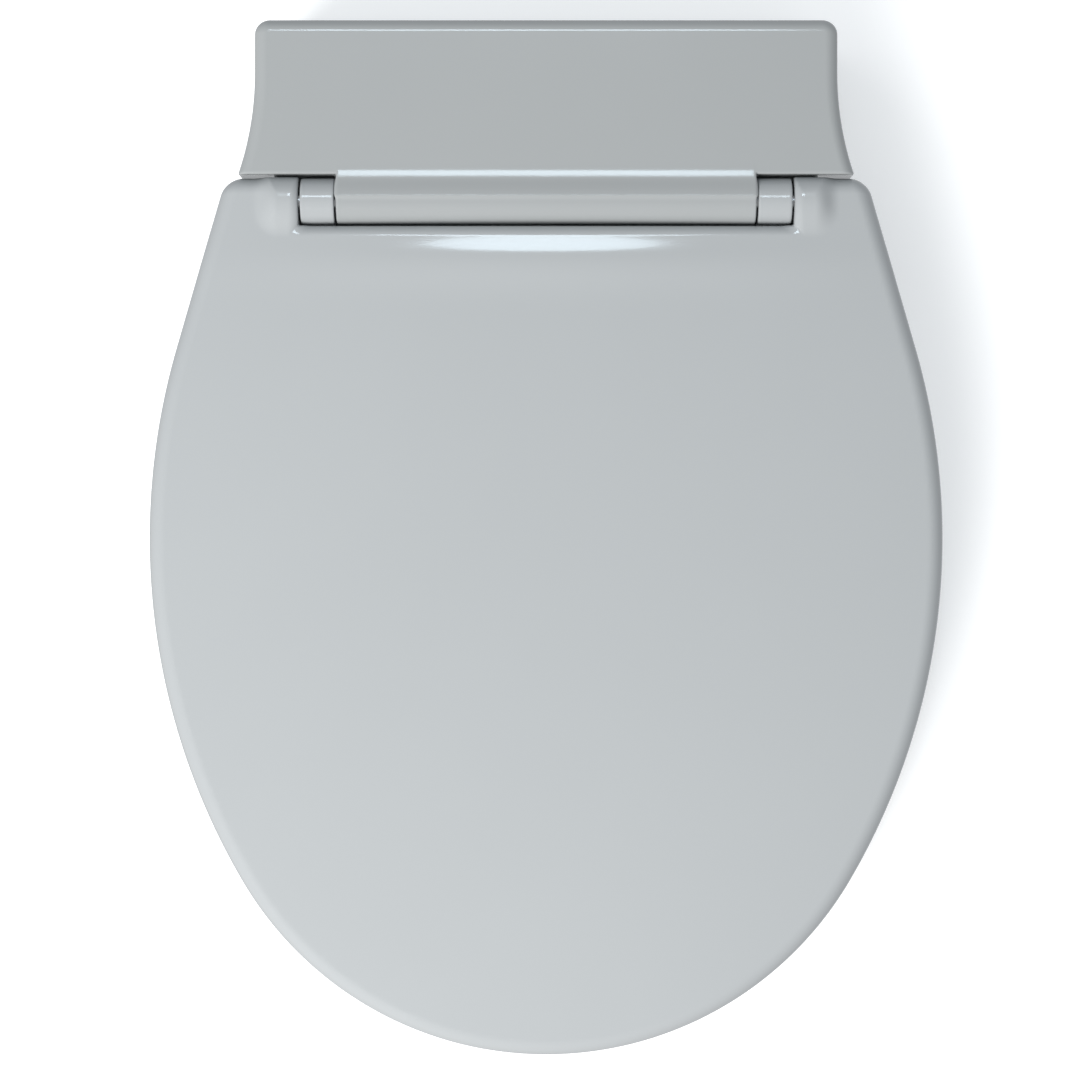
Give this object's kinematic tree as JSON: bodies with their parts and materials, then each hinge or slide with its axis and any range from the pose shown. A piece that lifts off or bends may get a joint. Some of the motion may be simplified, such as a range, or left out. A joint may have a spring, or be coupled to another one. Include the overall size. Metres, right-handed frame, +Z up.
{
  "type": "electric bidet seat",
  "caption": "Electric bidet seat: a crowned egg-shaped lid over a heated ring seat, both hinged on a rear housing that holds retractable wash nozzles, a dryer and a slide-on bowl plate",
  "frame": {"origin": "midway between the two bowl fixing holes, on the plane that the mounting plate, the base pads and the seat bumpers rest on", "axes": "+Y points to the cistern behind the seat and the lid's front tip points along -Y, +Z is up, +X is the right-hand side seen by someone who stands in front facing the cistern"},
  "size_m": [0.38, 0.4967, 0.081],
  "materials": {
    "white_shell": "glossy cool white shell plastic",
    "white_base": "satin white plastic",
    "grey_rubber": "matt grey rubber",
    "plate_plastic": "matt grey plastic",
    "steel": "bright steel",
    "bush": "natural acetal",
    "damper": "black plastic",
    "nozzle": "white wand",
    "nozzle_tip": "polished steel tip",
    "feed_tube": "thin steel tube",
    "guard": "white flap",
    "motor": "plated motor can",
    "inner_plastic": "dark grey moulding",
    "tank": "cream heat-resistant plastic",
    "hose": "milky silicone hose",
    "coil": "blue coil body",
    "brass": "plain brass",
    "strainer": "white mesh cup",
    "duct": "grey duct",
    "heater_wire": "resistance wire on a card",
    "heater_foil": "foil heater mat",
    "sensor": "black module",
    "panel": "light grey panel",
    "side_button": "grey button",
    "window": "dark window",
    "board": "green board with parts",
    "gland": "grey gland"
  },
  "bodies": {
    "base": {"rear_cover": "white_shell", "base_tray": "white_base", "front_bezel": "white_base", "flap_pins": "steel", "base_pads": "grey_rubber", "case_screws": "steel", "latch_tongue": "plate_plastic", "release_spring": "steel", "button_panel": "panel", "receiver_window": "window", "button_board": "board", "damper_left": "damper", "damper_right": "damper", "bush_left": "bush", "bush_right": "bush", "rear_wash_feed_tube": "feed_tube", "front_wash_feed_tube": "feed_tube", "rear_wash_motor": "motor", "front_wash_motor": "motor", "nozzle_cradle": "inner_plastic", "water_inlet": "brass", "inlet_strainer": "strainer", "solenoid_valve": "inner_plastic", "solenoid_coil": "coil", "heater_tank": "tank", "heater_element": "steel", "temperature_sensor": "steel", "diverter_valve": "inner_plastic", "diverter_motor": "motor", "supply_hose": "hose", "tank_hose": "hose", "blower_case": "inner_plastic", "blower_motor": "motor", "dryer_duct": "duct", "dryer_heater": "heater_wire", "control_board": "board", "power_board": "board", "cord_gland": "gland"},
    "seat": {"seat_top": "white_shell", "seat_bottom": "white_shell", "seat_heater": "heater_foil", "seat_bumpers": "grey_rubber", "seat_sensor": "sensor", "seat_shaft": "steel"},
    "lid": {"lid": "white_shell", "lid_bumpers": "grey_rubber", "lid_shaft": "steel"},
    "rear_nozzle": {"rear_wash_nozzle": "nozzle", "rear_wash_tip": "nozzle_tip"},
    "front_nozzle": {"front_wash_nozzle": "nozzle", "front_wash_tip": "nozzle_tip"},
    "rear_pinion": {"rear_wash_pinion": "bush"},
    "front_pinion": {"front_wash_pinion": "bush"},
    "guard": {"nozzle_guard": "guard"},
    "dryer_flap": {"dryer_flap": "guard"},
    "release_button": {"release_button": "white_shell"},
    "power_button": {"side_button_power": "side_button"},
    "wash_button": {"side_button_wash": "side_button"},
    "blower_wheel": {"blower_wheel": "bush"},
    "plate": {"mounting_plate": "plate_plastic"}
  },
  "joints": [
    {"name": "seat_hinge", "type": "hinge", "parent": "base", "child": "seat", "pos_m": [0, -0.0224, 0.07], "axis": [1, 0, 0], "range_deg": [-100, 0]},
    {"name": "lid_hinge", "type": "hinge", "parent": "seat", "child": "lid", "pos_m": [0, -0.0224, 0.07], "axis": [-1, 0, 0], "range_deg": [0, 105]},
    {"name": "rear_nozzle_slide", "type": "slide", "parent": "base", "child": "rear_nozzle", "axis": [0, -0.9848, -0.1736], "range_m": [0, 0.1]},
    {"name": "front_nozzle_slide", "type": "slide", "parent": "base", "child": "front_nozzle", "axis": [0, -0.9848, -0.1736], "range_m": [0, 0.1]},
    {"name": "rear_pinion_turn", "type": "hinge", "parent": "base", "child": "rear_pinion", "pos_m": [0.0246, -0.0773, 0.03047], "axis": [0, -0.1736, 0.9848], "continuous": true},
    {"name": "front_pinion_turn", "type": "hinge", "parent": "base", "child": "front_pinion", "pos_m": [-0.0246, -0.0773, 0.03047], "axis": [0, 0.1736, -0.9848], "continuous": true},
    {"name": "guard_hinge", "type": "hinge", "parent": "base", "child": "guard", "pos_m": [0, -0.1086, 0.0384], "axis": [-1, 0, 0], "range_deg": [0, 80]},
    {"name": "dryer_flap_hinge", "type": "hinge", "parent": "base", "child": "dryer_flap", "pos_m": [0.057, -0.1086, 0.0384], "axis": [-1, 0, 0], "range_deg": [0, 70]},
    {"name": "release_button_slide", "type": "slide", "parent": "base", "child": "release_button", "axis": [-1, 0, 0], "range_m": [0, 0.004], "stiffness_N_per_m": 600, "springref_m": -0.003, "deforming": ["release_spring"]},
    {"name": "power_button_slide", "type": "slide", "parent": "base", "child": "power_button", "axis": [-1, 0, 0], "range_m": [0, 0.0015], "stiffness_N_per_m": 900, "springref_m": -0.001},
    {"name": "wash_button_slide", "type": "slide", "parent": "base", "child": "wash_button", "axis": [-1, 0, 0], "range_m": [0, 0.0015], "stiffness_N_per_m": 900, "springref_m": -0.001},
    {"name": "blower_spin", "type": "hinge", "parent": "base", "child": "blower_wheel", "pos_m": [0.077, 0.024, 0.03], "axis": [0, 0, 1], "continuous": true},
    {"name": "plate_slide", "type": "slide", "parent": "base", "child": "plate", "axis": [0, 1, 0], "range_m": [0, 0.07], "deforming": ["latch_tongue"]}
  ],
  "couplings": [
    {"joint": "rear_pinion_turn", "follows": "rear_nozzle_slide", "rad_per_m": 156.25},
    {"joint": "front_pinion_turn", "follows": "front_nozzle_slide", "rad_per_m": 156.25}
  ]
}
